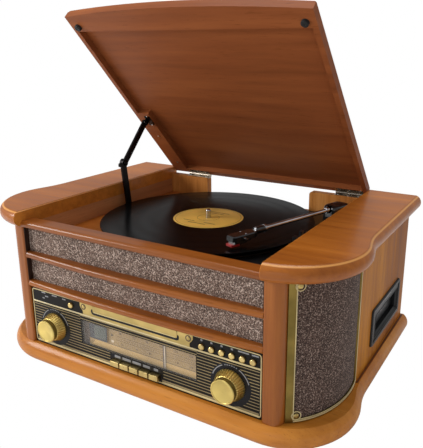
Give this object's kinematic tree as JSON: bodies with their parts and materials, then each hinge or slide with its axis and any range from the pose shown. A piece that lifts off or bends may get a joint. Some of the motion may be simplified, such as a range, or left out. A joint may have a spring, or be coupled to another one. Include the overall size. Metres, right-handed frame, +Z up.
{
  "type": "stereo music centre",
  "caption": "Retro wooden music centre: turntable under a hinged lid on a folding stay, radio dial, disc tray, side cassette slot and curved corner speakers.",
  "frame": {"origin": "on the supporting surface, under the middle of the cabinet's width and depth", "axes": "+X to the right seen from the front, -Y towards the front, +Z up; lid open"},
  "size_m": [0.5228, 0.3612, 0.4755],
  "materials": {
    "cabinet_wood": "glossy orange-brown lacquer",
    "lid_wood": "satin reddish-brown lacquer",
    "inner_board": "bare",
    "speaker_cloth": "speckled weave",
    "gold_trim": "satin",
    "fascia_black": "gloss",
    "black_plastic": "matt",
    "dial_clear": "clear",
    "dial_print": "printed",
    "pointer": "satin",
    "knob_gold": "satin, fluted rim",
    "button_gold": "polished",
    "rubber": "matt",
    "record_vinyl": "grooved gloss",
    "platter_black": "matt",
    "steel": "polished",
    "black_steel": "black",
    "hinge_steel": "brushed",
    "arm_black": "satin black",
    "circuit_board": "matt",
    "motor_steel": "satin"
  },
  "bodies": {
    "cabinet": {"base_plinth": "cabinet_wood", "rubber_feet": "rubber", "side_walls": "cabinet_wood", "shoulder_caps": "cabinet_wood", "inner_walls": "cabinet_wood", "front_frame": "cabinet_wood", "front_grille_panels": "speaker_cloth", "grille_frames": "gold_trim", "grille_cloths": "speaker_cloth", "speaker_boards": "inner_board", "speaker_drivers": "black_plastic", "control_fascia": "fascia_black", "dial_window": "dial_clear", "dial_scale": "dial_print", "deck_board": "cabinet_wood", "turntable_chassis": "black_plastic", "back_panel": "cabinet_wood", "rear_terminals": "black_plastic", "transformer": "motor_steel", "main_board": "circuit_board", "cd_mechanism": "black_plastic", "cassette_bezel": "black_plastic", "cassette_mechanism": "black_plastic", "turntable_motor": "motor_steel", "drive_belt": "rubber", "hinge_cabinet_leaves": "hinge_steel", "stay_foot_bracket": "black_steel"},
    "lid": {"lid_frame": "lid_wood", "lid_panel": "lid_wood", "lid_batten": "lid_wood", "lid_bumpers": "rubber", "hinge_lid_leaves": "hinge_steel", "stay_lid_bracket": "black_steel"},
    "stay_lower": {"stay_lower_arm": "black_steel"},
    "stay_upper": {"stay_upper_arm": "black_steel"},
    "turntable": {"platter": "platter_black", "vinyl_record": "record_vinyl", "spindle": "steel"},
    "pulley": {"motor_pulley": "steel"},
    "arm_base": {"tonearm_housing": "arm_black"},
    "arm": {"tonearm_tube": "arm_black", "headshell": "arm_black"},
    "volume_knob": {"volume_knob": "knob_gold"},
    "tuning_knob": {"tuning_knob": "knob_gold"},
    "tuning_pointer": {"tuning_pointer": "pointer"},
    "cd_tray": {"cd_tray": "black_plastic"},
    "cassette_flap": {"cassette_flap": "black_plastic"},
    "speed_selector": {"speed_selector": "black_plastic"},
    "phono_key": {"phono_key": "button_gold"},
    "tape_key": {"tape_key": "button_gold"},
    "disc_key": {"disc_key": "button_gold"},
    "radio_key": {"radio_key": "button_gold"},
    "aux_key": {"aux_key": "button_gold"},
    "play_button": {"play_button": "button_gold"},
    "stop_button": {"stop_button": "button_gold"},
    "previous_button": {"previous_button": "button_gold"},
    "next_button": {"next_button": "button_gold"},
    "program_button": {"program_button": "button_gold"},
    "eject_button": {"eject_button": "button_gold"},
    "power_button": {"power_button": "button_gold"}
  },
  "joints": [
    {"name": "lid_hinge", "type": "hinge", "parent": "cabinet", "child": "lid", "pos_m": [0, 0.176, 0.2115], "axis": [1, 0, 0], "range_deg": [0, 46.2]},
    {"name": "stay_foot_pivot", "type": "hinge", "parent": "cabinet", "child": "stay_lower", "pos_m": [-0.1651, 0.032, 0.1838], "axis": [1, 0, 0], "range_deg": [0, 81]},
    {"name": "stay_lid_pivot", "type": "hinge", "parent": "lid", "child": "stay_upper", "pos_m": [-0.1617, 0.0746, 0.3093], "axis": [1, 0, 0], "range_deg": [-79.1, 0]},
    {"name": "platter_spin", "type": "hinge", "parent": "cabinet", "child": "turntable", "pos_m": [-0.007, 0.0184, 0.185], "axis": [0, 0, 1], "continuous": true},
    {"name": "pulley_spin", "type": "hinge", "parent": "cabinet", "child": "pulley", "pos_m": [-0.07488, -0.04948, 0.182], "axis": [0, 0, 1], "continuous": true},
    {"name": "arm_swing", "type": "hinge", "parent": "cabinet", "child": "arm_base", "pos_m": [0.15, 0.1125, 0.19], "axis": [0, 0, 1], "range_deg": [-23, 18]},
    {"name": "arm_lift", "type": "hinge", "parent": "arm_base", "child": "arm", "pos_m": [0.15, 0.1125, 0.205], "axis": [-0.9511, 0.309, 0], "range_deg": [0, 2.5]},
    {"name": "volume_turn", "type": "hinge", "parent": "cabinet", "child": "volume_knob", "pos_m": [-0.135, -0.165, 0.0655], "axis": [0, 1, 0], "range_deg": [-150, 150]},
    {"name": "tuning_turn", "type": "hinge", "parent": "cabinet", "child": "tuning_knob", "pos_m": [0.135, -0.165, 0.0655], "axis": [0, 1, 0], "range_deg": [-750, 370]},
    {"name": "pointer_slide", "type": "slide", "parent": "cabinet", "child": "tuning_pointer", "axis": [1, 0, 0], "range_m": [-0.0852, 0.0421]},
    {"name": "cd_tray_slide", "type": "slide", "parent": "cabinet", "child": "cd_tray", "axis": [0, -1, 0], "range_m": [0, 0.127]},
    {"name": "cassette_flap_hinge", "type": "hinge", "parent": "cabinet", "child": "cassette_flap", "pos_m": [0.2305, 0.084, 0.0897], "axis": [0, 1, 0], "range_deg": [0, 75], "stiffness_Nm_per_rad": 0.01, "springref_deg": -17.19},
    {"name": "speed_selector_slide", "type": "slide", "parent": "cabinet", "child": "speed_selector", "axis": [1, 0, 0], "range_m": [0, 0.014]},
    {"name": "phono_key_press", "type": "slide", "parent": "cabinet", "child": "phono_key", "axis": [0, 1, 0], "range_m": [0, 0.0025], "stiffness_N_per_m": 400, "springref_m": -0.001},
    {"name": "tape_key_press", "type": "slide", "parent": "cabinet", "child": "tape_key", "axis": [0, 1, 0], "range_m": [0, 0.0025], "stiffness_N_per_m": 400, "springref_m": -0.001},
    {"name": "disc_key_press", "type": "slide", "parent": "cabinet", "child": "disc_key", "axis": [0, 1, 0], "range_m": [0, 0.0025], "stiffness_N_per_m": 400, "springref_m": -0.001},
    {"name": "radio_key_press", "type": "slide", "parent": "cabinet", "child": "radio_key", "axis": [0, 1, 0], "range_m": [0, 0.0025], "stiffness_N_per_m": 400, "springref_m": -0.001},
    {"name": "aux_key_press", "type": "slide", "parent": "cabinet", "child": "aux_key", "axis": [0, 1, 0], "range_m": [0, 0.0025], "stiffness_N_per_m": 400, "springref_m": -0.001},
    {"name": "play_button_press", "type": "slide", "parent": "cabinet", "child": "play_button", "axis": [0, 1, 0], "range_m": [0, 0.0012], "stiffness_N_per_m": 500, "springref_m": -0.0005},
    {"name": "stop_button_press", "type": "slide", "parent": "cabinet", "child": "stop_button", "axis": [0, 1, 0], "range_m": [0, 0.0012], "stiffness_N_per_m": 500, "springref_m": -0.0005},
    {"name": "previous_button_press", "type": "slide", "parent": "cabinet", "child": "previous_button", "axis": [0, 1, 0], "range_m": [0, 0.0012], "stiffness_N_per_m": 500, "springref_m": -0.0005},
    {"name": "next_button_press", "type": "slide", "parent": "cabinet", "child": "next_button", "axis": [0, 1, 0], "range_m": [0, 0.0012], "stiffness_N_per_m": 500, "springref_m": -0.0005},
    {"name": "program_button_press", "type": "slide", "parent": "cabinet", "child": "program_button", "axis": [0, 1, 0], "range_m": [0, 0.0012], "stiffness_N_per_m": 500, "springref_m": -0.0005},
    {"name": "eject_button_press", "type": "slide", "parent": "cabinet", "child": "eject_button", "axis": [0, 1, 0], "range_m": [0, 0.0012], "stiffness_N_per_m": 500, "springref_m": -0.0005},
    {"name": "power_button_press", "type": "slide", "parent": "cabinet", "child": "power_button", "axis": [0, 1, 0], "range_m": [0, 0.0012], "stiffness_N_per_m": 500, "springref_m": -0.0005}
  ],
  "couplings": [
    {"joint": "stay_foot_pivot", "follows": "lid_hinge", "ratio": 1.7412},
    {"joint": "stay_lid_pivot", "follows": "lid_hinge", "ratio": -1.7006},
    {"joint": "platter_spin", "follows": "pulley_spin", "ratio": 0.071429},
    {"joint": "pointer_slide", "follows": "tuning_turn", "m_per_rad": 0.0065}
  ]
}
